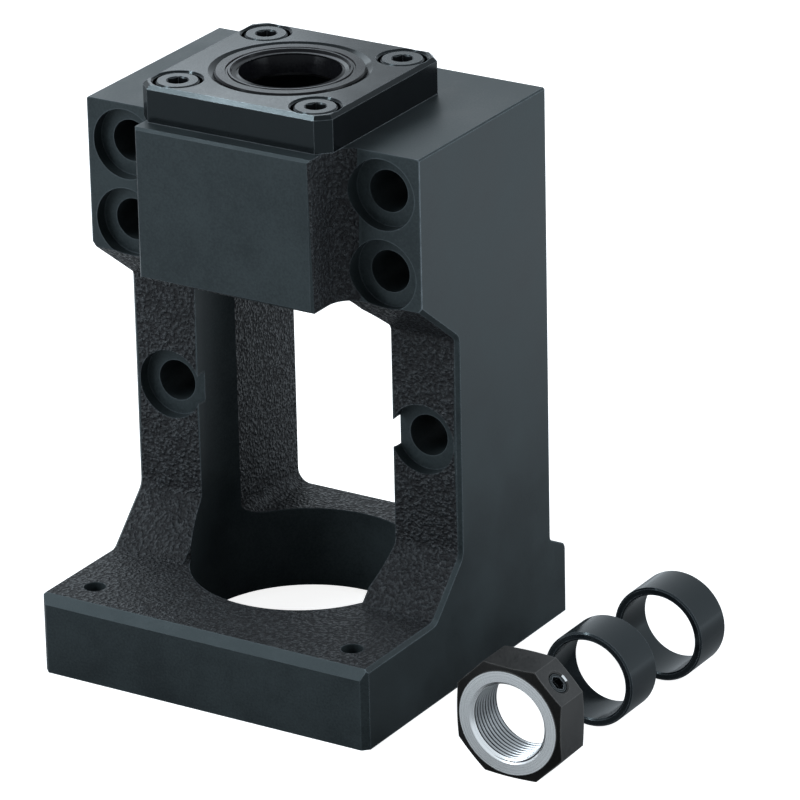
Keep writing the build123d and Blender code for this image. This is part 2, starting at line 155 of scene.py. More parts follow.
def opaque(colour):
    """A colour with an alpha of one. A socket stays as it is."""
    return colour if isinstance(colour, bpy.types.NodeSocket) else (*colour, 1)


def mix_colour(tree, factor, first, second):
    inputs = {0: factor, 6: opaque(first), 7: opaque(second)}
    return add_node(tree, "ShaderNodeMix", inputs, data_type="RGBA").outputs[2]


print("made: noise, weighted, remap, opaque, mix_colour")

# %% Shader node groups
def new_group(name, inputs, outputs):
    """A shader node group with float or vector inputs and float outputs, and its two end nodes."""
    tree = bpy.data.node_groups.new(name, "ShaderNodeTree")
    for label, default in inputs.items():
        kind = "NodeSocketVector" if default is None else "NodeSocketFloat"
        socket = tree.interface.new_socket(name=label, in_out="INPUT", socket_type=kind)
        if default is not None:
            socket.default_value = default
    for label in outputs:
        tree.interface.new_socket(name=label, in_out="OUTPUT", socket_type="NodeSocketFloat")
    return tree, tree.nodes.new("NodeGroupInput").outputs, tree.nodes.new("NodeGroupOutput").inputs


def use_group(tree, group, **inputs):
    """Place a group and set its inputs, whose names have spaces for the underscores here."""
    named = {label.replace("_", " "): value for label, value in inputs.items()}
    return add_node(tree, "ShaderNodeGroup", named, node_tree=group).outputs


print("made: new_group, use_group")

# %% [markdown]
# ## Shared effects
#
# Four effects come back on several materials, so each is a shader node group, built once and given its own
# values in each material. The first is the skin that sand leaves on cast iron: rounded grains of about a
# millimetre, with finer and broader unevenness over them. Real displacement would need millions of faces, so
# the grains are a height for the Bump node. Voronoi cells make the grains, and noise breaks up their order.

# %% Group: the cast skin
GRAIN = 1.0 * MM
GRAIN_WARP = 1.0 * MM
WARP_SCALE, FINE_SCALE, BROAD_SCALE = 700.0, 1150.0, 140.0


def cast_skin_group():
    tree, source, result = new_group("cast skin", {"Place": None, "Grain": GRAIN}, ["Height", "Hollow shade"])
    place = source["Place"]
    warp = add_node(tree, "ShaderNodeTexNoise", {"Vector": place, "Scale": WARP_SCALE, "Detail": 1.0})
    centred = vector_node(tree, "SUBTRACT", warp.outputs["Color"], (0.5, 0.5, 0.5))
    bent = vector_node(tree, "ADD", place, vector_node(tree, "MULTIPLY", centred, (GRAIN_WARP,) * 3))
    cells = {"Vector": bent, "Scale": math_node(tree, "DIVIDE", 1.0, source["Grain"])}
    grains = add_node(tree, "ShaderNodeTexVoronoi", cells, feature="SMOOTH_F1").outputs["Distance"]
    round_grain = remap(tree, grains, 0.05, 0.7, to_low=1.0, to_high=0.0)
    fine = noise(tree, place, FINE_SCALE, detail=3.0)
    broad = noise(tree, place, BROAD_SCALE)
    height = weighted(tree, (round_grain, 0.5), (fine, 1.0), (broad, 0.1))
    tree.links.new(height, result["Height"])
    # This output follows the height: low in the grains' hollows, high on their tops, for painted shade and
    # highlight.
    tree.links.new(remap(tree, height, 0.55, 1.05), result["Hollow shade"])
    return tree


cast_skin = cast_skin_group()
print("cast skin:", len(cast_skin.nodes), "nodes")

# %% [markdown]
# The second effect is what a milling cutter leaves: very fine parallel scratches, with a slow cloudiness in
# the blackened film above them. Scratches could be drawn with a Wave texture, but its lines are too even.
# Stretching a noise along one axis turns its blobs into scratches that start and end where they like.

# %% Group: machined marks
LINE_SCALE, CLOUD_SCALE, FLECK_SCALE = 900.0, 38.0, 1500.0


def machined_group():
    """The scratches run along the axis whose socket is the lowest."""
    along = {"Along X": 1.0, "Along Y": 1.0, "Along Z": 1.0}
    tree, source, result = new_group("machined marks", {"Place": None, **along}, ["Height", "Cloud"])
    shares = {number: source[label] for number, label in enumerate(along)}
    stretch = add_node(tree, "ShaderNodeCombineXYZ", shares).outputs[0]
    stretched = vector_node(tree, "MULTIPLY", source["Place"], stretch)
    lines = noise(tree, stretched, LINE_SCALE, detail=3.0)
    cloud = noise(tree, source["Place"], CLOUD_SCALE, detail=5.0, roughness=0.62)
    fleck = noise(tree, source["Place"], FLECK_SCALE)
    tree.links.new(weighted(tree, (lines, 1.0), (fleck, 0.6)), result["Height"])
    tree.links.new(remap(tree, weighted(tree, (cloud, 0.6), (fleck, 0.4)), 0.32, 0.68), result["Cloud"])
    return tree


machined_marks = machined_group()
print("machined marks:", len(machined_marks.nodes), "nodes")

# %% [markdown]
# The third is the thin line of brighter metal along each sharp edge: partly where the black film is rubbed,
# and partly a painted highlight of the light that a sharp edge catches. It could be painted as a mask, edge
# by edge. Instead the Bevel node gives the normal that a rounded edge would have. Where it differs from the
# real normal an edge is near, and the difference is the mask.

# %% Group: edge wear and painted highlight
EDGE_WIDTH = 0.8 * MM
PATCH_SCALE = 260.0


def edge_group():
    tree, source, result = new_group("edge wear and painted highlight", {"Place": None, "Width": EDGE_WIDTH}, ["Edge"])
    rounded = add_node(tree, "ShaderNodeBevel", {"Radius": source["Width"]}, samples=6).outputs[0]
    flat = add_node(tree, "ShaderNodeNewGeometry").outputs["Normal"]
    away = math_node(tree, "SUBTRACT", 1.0, vector_node(tree, "DOT_PRODUCT", rounded, flat))
    patches = remap(tree, noise(tree, source["Place"], PATCH_SCALE, detail=3.0), 0.25, 0.6, to_low=0.5)
    # The mask lightens sharp edges, broken into patches: partly rubbed film, partly painted highlight.
    wear_and_highlight_mask = math_node(tree, "MULTIPLY", remap(tree, away, 0.01, 0.2), patches)
    tree.links.new(wear_and_highlight_mask, result["Edge"])
    return tree


edge_wear_and_painted_highlight = edge_group()
print("edge wear and painted highlight:", len(edge_wear_and_painted_highlight.nodes), "nodes")

# %% [markdown]
# The fourth is for turned faces: rings about an axis, cut by the tool as the piece spins. A ring for each
# turn could be modelled, but they are finer than a pixel. The distance from the axis, divided by the pitch,
# drives a noise in one dimension, so each ring has its own depth and none looks printed.

# %% Group: turned rings
RING_PITCH = 0.3 * MM


def turned_group():
    tree, source, result = new_group("turned rings", {"Radius": 0.0, "Pitch": RING_PITCH}, ["Height"])
    turns = math_node(tree, "DIVIDE", source["Radius"], source["Pitch"])
    inputs = {"W": turns, "Scale": 1.0, "Detail": 3.0}
    uneven = add_node(tree, "ShaderNodeTexNoise", inputs, noise_dimensions="1D")
    tree.links.new(uneven.outputs[0], result["Height"])
    return tree


turned_rings = turned_group()
print("groups:", len(bpy.data.node_groups))

# %% [markdown]
# ## Starting and finishing a material
#
# Every finish here is made the same way: a Principled shader, with a pattern that drives its colour, its
# roughness and a bump. Copying a base material would hide what each one changes. Two helpers do the common
# start and the common end, and the values between them are the finish. What is the same all over a surface,
# such as the specular level, is set on the shader itself.

# %% Material helpers
def new_material(name, colour, **shader_values):
    """A material with its Principled shader, and the object coordinates that its patterns use."""
    material = bpy.data.materials.new(name)
    material.use_nodes = True
    material.diffuse_color = opaque(colour)
    tree = material.node_tree
    shader = tree.nodes["Principled BSDF"]
    shader.inputs["Base Color"].default_value = opaque(colour)
    for label, value in shader_values.items():
        shader.inputs[label.replace("_", " ")].default_value = value
    place = tree.nodes.new("ShaderNodeTexCoord").outputs["Object"]
    print("material:", name)
    return material, tree, shader, place


def finish(tree, shader, colour, roughness, height, depth, strength):
    """Wire the colour, the roughness, and a bump on which a height of one stands for the depth."""
    tree.links.new(colour, shader.inputs["Base Color"])
    tree.links.new(roughness, shader.inputs["Roughness"])
    bump = add_node(tree, "ShaderNodeBump", {"Height": height, "Distance": depth, "Strength": strength})
    tree.links.new(bump.outputs["Normal"], shader.inputs["Normal"])


print("made: new_material, finish")

# %% [markdown]
# ## The casting's planes
#
# The finishes below need to know where the casting's faces lie. Those numbers could all be typed, but what
# the frame knows is read from it: the casting's box gives its outsides, and the mounts give the back face
# and the six holes. The rest are the casting's own planes inside its box.

# %% Planes of the casting, in millimetres
_, casting_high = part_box("housing")
SIDE, HEAD_TOP = casting_high.x / MM, casting_high.z / MM

mounts = {mount["name"]: mount for mount in frame["record"]["mounts"]}
ears, legs = mounts["ear_bolts"], mounts["leg_bolts"]
BACK = mounts["back_face"]["pos_m"][1] / MM
HOLE_X = ears["dims"]["spacing_x_mm"] / 2
ear_middle, ear_step = ears["pos_m"][2] / MM, ears["dims"]["spacing_y_mm"] / 2
HOLE_HEIGHTS = (legs["pos_m"][2] / MM, ear_middle - ear_step, ear_middle + ear_step)

FLANGE_TOP, HEAD_UNDER = 26.0, 126.4
CHAMBER_R, WINDOW_SIDE = 35.0, 32.0
LEG_FRONT, EAR_FRONT, BLOCK_FRONT = -3.0, -22.4, -38.4
BLOCK_ROOT = 38.0
SPOTFACE_R, SPOTFACE_DEPTH = 11.0, 4.0
LEDGE_FROM, LEDGE_TOP = 40.0, 30.0
SILL_BEVEL = 2.0
print("sides at", round(SIDE, 2), "back at", round(BACK, 2), "holes at", HOLE_X, HOLE_HEIGHTS)

# %% [markdown]
# ## The casting's two finishes
#
# One iron casting carries two finishes. Where the cutter passed, it is satin blue-black, and a thin grey
# line runs along its corners, strongest along the outer sides: partly rubbed film, partly painted highlight.
# Everywhere else it keeps its sand skin under a thin black paint, with painted shade in the grains' hollows.
# Both could be one black with two bumps, but what shows on black is the light that it returns: the machined
# film has a broad soft sheen, and the rough skin breaks the light into grains. So each has its own specular
# level and range of roughness.

# %% Machined and blackened iron
# What the black films mirror is tinted a cold blue-green.
COLD_SHEEN = (0.80, 0.96, 1.0, 1)


def machined_black():
    material, tree, shader, place = new_material(
        "machined_black", (0.015, 0.018, 0.020), Specular_IOR_Level=0.22, Specular_Tint=COLD_SHEEN
    )
    marks = use_group(tree, machined_marks, Place=place, Along_X=1.0, Along_Y=0.12, Along_Z=1.0)
    film = mix_colour(tree, marks["Cloud"], (0.012, 0.0150, 0.0165), (0.028, 0.035, 0.037))
    # A thin lighter line along sharp edges: rubbed film and painted highlight.
    edge = use_group(tree, edge_wear_and_painted_highlight, Place=place, Width=0.9 * MM)["Edge"]
    across = add_node(tree, "ShaderNodeSeparateXYZ", {0: place}).outputs["X"]
    off_middle = math_node(tree, "ABSOLUTE", across)
    # Painted highlight: the edge line is at full strength near the outer sides, weaker elsewhere.
    outer_side_painted_highlight = remap(tree, off_middle, (SIDE - 2) * MM, (SIDE - 0.5) * MM, to_low=0.3)
    wear_and_highlight_mask = math_node(tree, "MULTIPLY", edge, outer_side_painted_highlight)
    colour = mix_colour(tree, wear_and_highlight_mask, film, (0.19, 0.22, 0.24))
    rough = remap(tree, marks["Cloud"], 0.0, 1.0, to_low=0.36, to_high=0.48)
    finish(tree, shader, colour, rough, marks["Height"], depth=0.03 * MM, strength=0.35)
    return material


cut_face = machined_black()

# %% Rough cast skin
def rough_black():
    material, tree, shader, place = new_material(
        "rough_cast_black", (0.013, 0.014, 0.015), Specular_IOR_Level=0.23
    )
    skin = use_group(tree, cast_skin, Place=place, Grain=GRAIN)
    # Painted shade and highlight: the black paint is darker in the grains' hollows and lighter on their
    # tops.
    paint_and_hollow_shade = mix_colour(tree, skin["Hollow shade"], (0.004, 0.004, 0.005), (0.031, 0.034, 0.037))
    # A thin lighter line along sharp edges: rubbed paint and painted highlight.
    edge = use_group(tree, edge_wear_and_painted_highlight, Place=place, Width=1.0 * MM)["Edge"]
    colour = mix_colour(tree, math_node(tree, "MULTIPLY", edge, 0.5), paint_and_hollow_shade, (0.09, 0.105, 0.115))
    rough = remap(tree, skin["Hollow shade"], 0.0, 1.0, to_low=0.60, to_high=0.30)
    finish(tree, shader, colour, rough, skin["Height"], depth=0.85 * MM, strength=1.0)
    return material


sand_skin = rough_black()

# %% [markdown]
# Which faces are rough is decided face by face, from where a face lies and which way it looks. A mask
# painted by hand would be lost at the next change of size, so the rule follows the casting's planes. Rough
# are the flange's top, the leg fronts and insides, the slopes, the block's two sides, the undersides of the
# block and the head, and the ledge at the back. Smooth are the outsides, the chamber's wall, the spotfaces
# and holes, the ear fronts and the inside of the head.

# %% Sort the casting's faces
NEAR = 0.2


def is_hole(x, y, z, normal):
    """Whether a face is a spotface, its wall or the hole below it."""
    reach = SPOTFACE_R + NEAR
    if not any((x - HOLE_X) ** 2 + (z - height) ** 2 < reach ** 2 for height in HOLE_HEIGHTS):
        return False
    floors = (LEG_FRONT + SPOTFACE_DEPTH, EAR_FRONT + SPOTFACE_DEPTH)
    cut = abs(normal.y) < 0.1 or any(abs(y - floor) < NEAR for floor in floors)
    return cut and WINDOW_SIDE + 0.5 < x < SIDE - 2


def is_cut(x, y, z, normal):
    """Whether a face is on an outside that was milled, or on the chamber's bored wall."""
    if x > SIDE - 1.5 or y < BLOCK_FRONT + 0.4 or z > HEAD_TOP - 1:
        return True
    if z < FLANGE_TOP - NEAR and y < LEDGE_FROM:
        return True
    on_chamber = abs(sqrt(x ** 2 + y ** 2) - CHAMBER_R) < 2 * NEAR
    return on_chamber and abs(normal.z) < 0.1 and z < HEAD_UNDER


def is_rough(centre, normal):
    """Whether a face of the casting keeps its sand skin. The centre is in millimetres."""
    x, y, z = abs(centre.x), centre.y, centre.z
    if abs(z - FLANGE_TOP) < NEAR and normal.z > 0.9 and y < LEDGE_FROM:
        return True
    if is_cut(x, y, z, normal) or is_hole(x, y, z, normal):
        return False
    if y > BACK - SILL_BEVEL - NEAR:
        return y > BACK + 0.3 and normal.z > 0.2 and z < LEDGE_TOP
    before_ears = y < EAR_FRONT + 0.3
    if x < BLOCK_ROOT and before_ears and z > HEAD_UNDER - 1:
        return normal.y > -0.99 or normal.z < -0.9
    return z <= HEAD_UNDER + NEAR and not (before_ears and z > HEAD_UNDER - 0.1)


def dress_casting(casting):
    """Give the casting its two materials and its rough faces the second one."""
    mesh = casting.data
    mesh.materials.clear()
    mesh.materials.append(cut_face)
    mesh.materials.append(sand_skin)
    for polygon in mesh.polygons:
        polygon.material_index = int(is_rough(polygon.center / MM, polygon.normal))
    rough = sum(polygon.material_index for polygon in mesh.polygons)
    print("rough faces:", rough, "of", len(mesh.polygons))


dress_casting(nodes["housing"])

# %% [markdown]
# ## The lid and its screws
#
# The lid is milled steel with a glossy black film, so it mirrors the room and its bevel draws a bright line.
# A clear coat over a matt black would do that too, but the film is thin and has no depth. A low roughness on
# the shader itself is enough, with a trace of the cutter's lines to stop it looking like glass. The same
# maker of materials serves the screws and the collars, each with its own values.

# %% Glossy black steel
def glossy_black(name, base, roughness, edge_wear_and_highlight_tone, mirrored):
    material, tree, shader, place = new_material(
        name, base, Specular_IOR_Level=mirrored, Specular_Tint=COLD_SHEEN
    )
    marks = use_group(tree, machined_marks, Place=place, Along_X=0.1, Along_Y=1.0, Along_Z=1.0)
    dark = tuple(channel * 0.75 for channel in base)
    film = mix_colour(tree, marks["Cloud"], dark, base)
    # A thin lighter line along sharp edges: rubbed film and painted highlight.
    edge = use_group(tree, edge_wear_and_painted_highlight, Place=place, Width=0.6 * MM)["Edge"]
    colour = mix_colour(tree, math_node(tree, "MULTIPLY", edge, 0.6), film, edge_wear_and_highlight_tone)
    rough = remap(tree, marks["Cloud"], 0.0, 1.0, to_low=roughness, to_high=roughness + 0.08)
    finish(tree, shader, colour, rough, marks["Height"], depth=0.01 * MM, strength=0.25)
    return material


def dress(material, *node_names):
    """Put one material on CAD nodes, whose meshes stay as they are."""
    for name in node_names:
        nodes[name].data.materials.clear()
        nodes[name].data.materials.append(material)
    print(material.name, "on:", ", ".join(node_names))


print("made: glossy_black, dress")

# %% Lid and screws
LID_SCREWS = range(1, 5)

lid_black = glossy_black(
    "lid_black", (0.005, 0.006, 0.007), roughness=0.11, edge_wear_and_highlight_tone=(0.35, 0.38, 0.40), mirrored=0.15
)
screw_black = glossy_black(
    "screw_black", (0.010, 0.011, 0.012), roughness=0.20, edge_wear_and_highlight_tone=(0.34, 0.36, 0.38), mirrored=0.22
)
dress(lid_black, "bearing_lid")
dress(screw_black, *[f"lid_screw_{number}" for number in LID_SCREWS])

# %% [markdown]
# ## Seals
#
# The seals are moulded nitrile rubber, black and smooth with a low sheen. Rubber scatters a little light
# below its surface, but black rubber hides that, so a plain shader will do. A weak specular level keeps the
# lips dark, and a low roughness lets their edges catch a thin light.

# %% Rubber
def seal_rubber():
    material, tree, shader, place = new_material(
        "seal_rubber", (0.005, 0.005, 0.006), Specular_IOR_Level=0.10
    )
    marks = use_group(tree, machined_marks, Place=place)
    colour = mix_colour(tree, marks["Cloud"], (0.003, 0.003, 0.004), (0.008, 0.008, 0.009))
    rough = remap(tree, marks["Cloud"], 0.0, 1.0, to_low=0.14, to_high=0.22)
    finish(tree, shader, colour, rough, marks["Height"], depth=0.02 * MM, strength=0.3)
    return material


dress(seal_rubber(), "upper_seal_rubber", "lower_seal_rubber")

# %% [markdown]
# ## Bearing steel, cages and pads
#
# The bearings lie inside the head, seen only down the bore. Ground steel is bright, and the balls are the
# smoothest of all. The cages are moulded plastic the colour of straw. The set screws' pads are brass, inside
# the nut. Each could have a graph of its own, but the four metals differ only in colour and roughness, so
# one function makes them all, and the plastic has its own.

# %% Bright metals
def bright_metal(name, base, roughness):
    material, tree, shader, place = new_material(name, base, Metallic=1.0)
    marks = use_group(tree, machined_marks, Place=place, Along_X=1.0, Along_Y=1.0, Along_Z=6.0)
    dark = tuple(channel * 0.85 for channel in base)
    colour = mix_colour(tree, marks["Cloud"], dark, base)
    rough = remap(tree, marks["Cloud"], 0.0, 1.0, to_low=roughness, to_high=roughness + 0.1)
    finish(tree, shader, colour, rough, marks["Height"], depth=0.01 * MM, strength=0.3)
    return material


bearing_steel = bright_metal("bearing_steel", (0.56, 0.57, 0.58), roughness=0.22)
ball_steel = bright_metal("ball_steel", (0.66, 0.67, 0.68), roughness=0.10)
spring_steel = bright_metal("spring_steel", (0.50, 0.50, 0.50), roughness=0.30)
pad_brass = bright_metal("pad_brass", (0.72, 0.55, 0.25), roughness=0.32)

# %% Cage plastic
def cage_plastic():
    material, tree, shader, place = new_material("cage_plastic", (0.60, 0.52, 0.36))
    marks = use_group(tree, machined_marks, Place=place)
    colour = mix_colour(tree, marks["Cloud"], (0.55, 0.47, 0.31), (0.64, 0.56, 0.40))
    rough = remap(tree, marks["Cloud"], 0.0, 1.0, to_low=0.42, to_high=0.55)
    finish(tree, shader, colour, rough, marks["Height"], depth=0.03 * MM, strength=0.3)
    return material


straw = cage_plastic()

# %% Dress the inside of the head
for level in ("upper", "lower"):
    dress(bearing_steel, f"{level}_seal_case", f"{level}_outer_ring", f"{level}_inner_ring")
    dress(spring_steel, f"{level}_garter_spring")
    dress(straw, f"{level}_cage")
dress(ball_steel, *[name for name in nodes if "_ball_" in name])

# %% [markdown]
# ## Spacer collars
#
# The collars are turned, hardened and blackened, smoother than the casting, so light runs along them in
# soft bands. They could share the lid's black, but they mirror more than it does, so they have their own
# values.

# %% Collars
collar_black = glossy_black(
    "collar_black", (0.008, 0.010, 0.012), roughness=0.15, edge_wear_and_highlight_tone=(0.30, 0.33, 0.36), mirrored=0.28
)
dress(collar_black, "spacer_collar_1", "spacer_collar_2")

# %% [markdown]
# ## The lock nut
#
# The nut has eight sides, its corners cut from a square bar and turned back to a shallow cone. Its flats
# are blackened and nearly neutral. The raised ring round the bore was faced after blackening, so the ring
# and the thread are bright. The CAD nut is plain, so a detailed nut stands for it on the same axis. It could
# be drawn face by face, but it is made as the saw and the lathe would make it: a bar and turned solids,
# combined with Boolean modifiers.

# %% The nut's measures
nut_low, nut_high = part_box("lock_nut")
nut_centre = (nut_low + nut_high) / 2
nut_width = nut_high.y - nut_low.y
nut_front = -nut_width / 2
ACROSS = nut_high.z - nut_low.z
CORNER_CUT = 0.252 * ACROSS
FACET_R = (ACROSS - CORNER_CUT) / sqrt(2)
RING_R = 0.465 * ACROSS
RING_STEP = 0.35 * MM
CONE_SLOPE = tan(radians(18))
PITCH = 1.5 * MM
MAJOR_R, MINOR_R = 12.5 * MM, 11.69 * MM
MOUTH_R = 12.95 * MM
print("nut, mm across:", round(ACROSS / MM, 2), "facets out:", round(FACET_R / MM, 2))

# %% Turned solids and bars
LATHE_STEPS, SMALL_STEPS = 144, 64


def add_object(name, mesh):
    """Turn a bmesh into an object of the scene."""
    bmesh.ops.recalc_face_normals(mesh, faces=mesh.faces)
    data = bpy.data.meshes.new(name)
    mesh.to_mesh(data)
    mesh.free()
    piece = bpy.data.objects.new(name, data)
    scene.collection.objects.link(piece)
    print("solid:", name, len(data.polygons), "faces")
    return piece


def turned_solid(name, profile, steps=LATHE_STEPS):
    """A closed solid about Z from radius and height pairs."""
    mesh = bmesh.new()
    angles = [2 * pi * step / steps for step in range(steps)]
    rings = []
    for radius, height in profile:
        rings.append([mesh.verts.new((radius * cos(a), radius * sin(a), height)) for a in angles])
    for low, high in zip(rings, rings[1:]):
        for step in range(steps):
            after = (step + 1) % steps
            mesh.faces.new((low[step], low[after], high[after], high[step]))
    mesh.faces.new(rings[0])
    mesh.faces.new(rings[-1])
    return add_object(name, mesh)


def bar(name, outline, low, high):
    """A closed bar along Z with the given outline."""
    mesh = bmesh.new()
    ends = [[mesh.verts.new((x, y, z)) for x, y in outline] for z in (low, high)]
    for end in ends:
        mesh.faces.new(end)
    for step in range(len(outline)):
        after = (step + 1) % len(outline)
        mesh.faces.new((ends[0][step], ends[0][after], ends[1][after], ends[1][step]))
    return add_object(name, mesh)


print("made: add_object, turned_solid, bar")

# %% Cutting and shading
SHARP = radians(24)


def combine(piece, tool, operation="DIFFERENCE"):
    """Cut or keep one object by another, apply it, and remove the tool."""
    cut = piece.modifiers.new("cut", "BOOLEAN")
    cut.operation = operation
    cut.object = tool
    cut.solver = "EXACT"
    bpy.context.view_layer.update()
    evaluated = piece.evaluated_get(bpy.context.evaluated_depsgraph_get())
    data = bpy.data.meshes.new_from_object(evaluated)
    piece.modifiers.clear()
    piece.data = data
    bpy.data.objects.remove(tool)


def crease(piece):
    """Smooth shading that breaks at every sharp edge."""
    mesh = bmesh.new()
    mesh.from_mesh(piece.data)
    for face in mesh.faces:
        face.smooth = True
    for edge in mesh.edges:
        edge.smooth = edge.is_manifold and edge.calc_face_angle(0) < SHARP
    mesh.to_mesh(piece.data)
    mesh.free()


print("edges stay sharp from", round(SHARP, 3), "radians")

# %% The blank
LYING = Matrix.Translation(nut_centre) @ Matrix.Rotation(radians(-90), 4, "X")
OVERSHOOT = 1 * MM


def mirrored_profile(front):
    """A profile's front half and its mirror image at the back."""
    return front + [(radius, -height) for radius, height in reversed(front)]


def nut_blank():
    """The eight-sided bar, turned to its cones and ring and bored, about +Z with its front end low."""
    half = ACROSS / 2
    corner = half - CORNER_CUT
    octagon = [(half, -corner), (half, corner), (corner, half), (-corner, half)]
    octagon += [(-x, -y) for x, y in octagon]
    blank = bar("threaded_lock_nut", octagon, nut_front * 2, -nut_front * 2)
    outside = half + corner / 2
    cone_end = nut_front + RING_STEP + (outside - RING_R) * CONE_SLOPE
    ring = [(RING_R, nut_front), (RING_R, nut_front + RING_STEP), (outside, cone_end)]
    combine(blank, turned_solid("barrel", mirrored_profile(ring)), "INTERSECT")
    mouth = [(MOUTH_R + OVERSHOOT, nut_front - OVERSHOOT), (MINOR_R, nut_front + MOUTH_R - MINOR_R)]
    combine(blank, turned_solid("bore", mirrored_profile(mouth)))
    blank.data.transform(LYING)
    return blank


nut = nut_blank()
print("blank faces:", len(nut.data.polygons))

# %% [markdown]
# Two facets carry a set screw each, over a brass pad. Their holes end just outside the thread's roots, so
# neither shows in the bore. A dark disc on the facet would look right from far off, but the screw's socket
# is what the eye finds from near by: a hexagonal hole in a flat end, sunk a little below the facet.

# %% Set screws, pads and their holes
SCREW_R, SCREW_HOLE_R = 3.3 * MM, 3.35 * MM
SCREW_MOUTH, SCREW_SINK, SCREW_EDGE = 0.45 * MM, 0.35 * MM, 0.35 * MM
SOCKET_ACROSS, SOCKET_DEPTH = 4.0 * MM, 2.4 * MM
PAD_LOW, PAD_HIGH = 12.6 * MM, 13.7 * MM
PAD_CLEARANCE = 0.02 * MM


def stand_out(piece, angle):
    """Turn a piece made about Z to stand out of the nut at an angle from +X towards +Z."""
    piece.data.transform(Matrix.Translation(nut_centre) @ Matrix.Rotation(radians(90 - angle), 4, "Y"))
    return piece


def rounded_rod(name, low, high, edge):
    """A rod as thick as the set screw, its two ends bevelled."""
    rim = SCREW_R - edge
    profile = [(rim, low), (SCREW_R, low + edge), (SCREW_R, high - edge), (rim, high)]
    return turned_solid(name, profile, SMALL_STEPS)


def set_screw(name):
    top = FACET_R - SCREW_SINK
    screw = rounded_rod(name, PAD_HIGH, top, SCREW_EDGE)
    corner = SOCKET_ACROSS / sqrt(3)
    hexagon = [(corner * cos(radians(60 * step)), corner * sin(radians(60 * step))) for step in range(6)]
    combine(screw, bar("socket", hexagon, top - SOCKET_DEPTH, top + SOCKET_DEPTH))
    return screw


def brass_pad(name):
    return rounded_rod(name, PAD_LOW + PAD_CLEARANCE, PAD_HIGH, SCREW_EDGE / 2)


def screw_hole():
    wide = SCREW_HOLE_R + SCREW_MOUTH
    deep = FACET_R - SCREW_MOUTH
    profile = [(SCREW_HOLE_R, PAD_LOW), (SCREW_HOLE_R, deep), (wide, FACET_R), (wide, FACET_R + wide)]
    return turned_solid("hole", profile, SMALL_STEPS)


print("screw stands", round((FACET_R - SCREW_SINK - PAD_HIGH) / MM, 2), "mm high")

# %% Fit the set screws
SCREW_ANGLES = {1: 45, 2: 135}


def stand_for(piece, material, node):
    """Finish a small piece of the nut and let it stand for its CAD node."""
    crease(piece)
    piece.data.materials.clear()
    piece.data.materials.append(material)
    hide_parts(node)
    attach(piece, "bracket")


for number, angle in SCREW_ANGLES.items():
    combine(nut, stand_out(screw_hole(), angle))
    screw = stand_out(set_screw(f"socket_set_screw_{number}"), angle)
    stand_for(screw, screw_black, f"nut_set_screw_{number}")
    pad = stand_out(brass_pad(f"brass_pad_{number}"), angle)
    stand_for(pad, pad_brass, f"nut_pad_{number}")
print("faces with the holes:", len(nut.data.polygons))

# %% [markdown]
# The thread is swept as one strip: at each step round the axis, a profile of root, flank and crest moves on
# by a little, and each turn joins the next. Closed at both ends, it is a tap, and the tap is cut out of
# the blank. A bump could only paint the thread, and its edge against the light would stay straight.

# %% The tap that cuts the thread
TURN_STEPS = 96
SPARE_TURNS = 3
TAP_INNER_R = MINOR_R - 0.1 * MM
# One pitch of the profile: place along the axis as a share of the pitch, and radius.
PROFILE = ((0.0, MAJOR_R), (0.125, MAJOR_R), (0.46, TAP_INNER_R), (0.665, TAP_INNER_R))


def helix_strips(mesh, turns):
    """The profile's points at each step round the nut's axis."""
    start = nut_centre.y - turns * PITCH / 2
    x, _, z = nut_centre
    strips = []
    for step in range(int(turns * TURN_STEPS) + 1):
        angle = 2 * pi * step / TURN_STEPS
        base = start + PITCH * step / TURN_STEPS
        strips.append([
            mesh.verts.new((x + radius * cos(angle), base + share * PITCH, z + radius * sin(angle)))
            for share, radius in PROFILE
        ])
    return strips


def close_end(mesh, rims, turns, side):
    """Close one end of the tap with a cone of triangles to a point on the axis."""
    hub = mesh.verts.new((nut_centre.x, nut_centre.y + side * (turns + 2) * PITCH / 2, nut_centre.z))
    for edge in rims:
        if (edge.verts[0].co.y - nut_centre.y) * side > 0:
            mesh.faces.new((*edge.verts, hub))


def thread_tap(turns):
    """A closed solid about +Y whose outside is the thread's groove, a little longer than the nut."""
    mesh = bmesh.new()
    strips = helix_strips(mesh, turns)
    for step in range(len(strips) - 1):
        here, there = strips[step], strips[step + 1]
        for low in range(len(PROFILE) - 1):
            mesh.faces.new((here[low], here[low + 1], there[low + 1], there[low]))
        if step + TURN_STEPS + 1 < len(strips):
            above, beyond = strips[step + TURN_STEPS], strips[step + TURN_STEPS + 1]
            mesh.faces.new((here[-1], above[0], beyond[0], there[-1]))
    rims = [edge for edge in mesh.edges if edge.is_boundary]
    for side in (-1, 1):
        close_end(mesh, rims, turns, side)
    return add_object("thread_tap", mesh)


combine(nut, thread_tap(nut_width / PITCH + SPARE_TURNS))
crease(nut)
print("threaded faces:", len(nut.data.polygons))

# %% [markdown]
# ## The nut's finishes
#
# The nut carries four finishes: black flats, nearly black cones, the bright faced ring, and the thread, of
# the same turned steel but darker, as painted shade down the bore, whose roots keep their black. They could
# be four objects, but on the real nut they are one piece, so each face of the one mesh is given the number
# of its material.

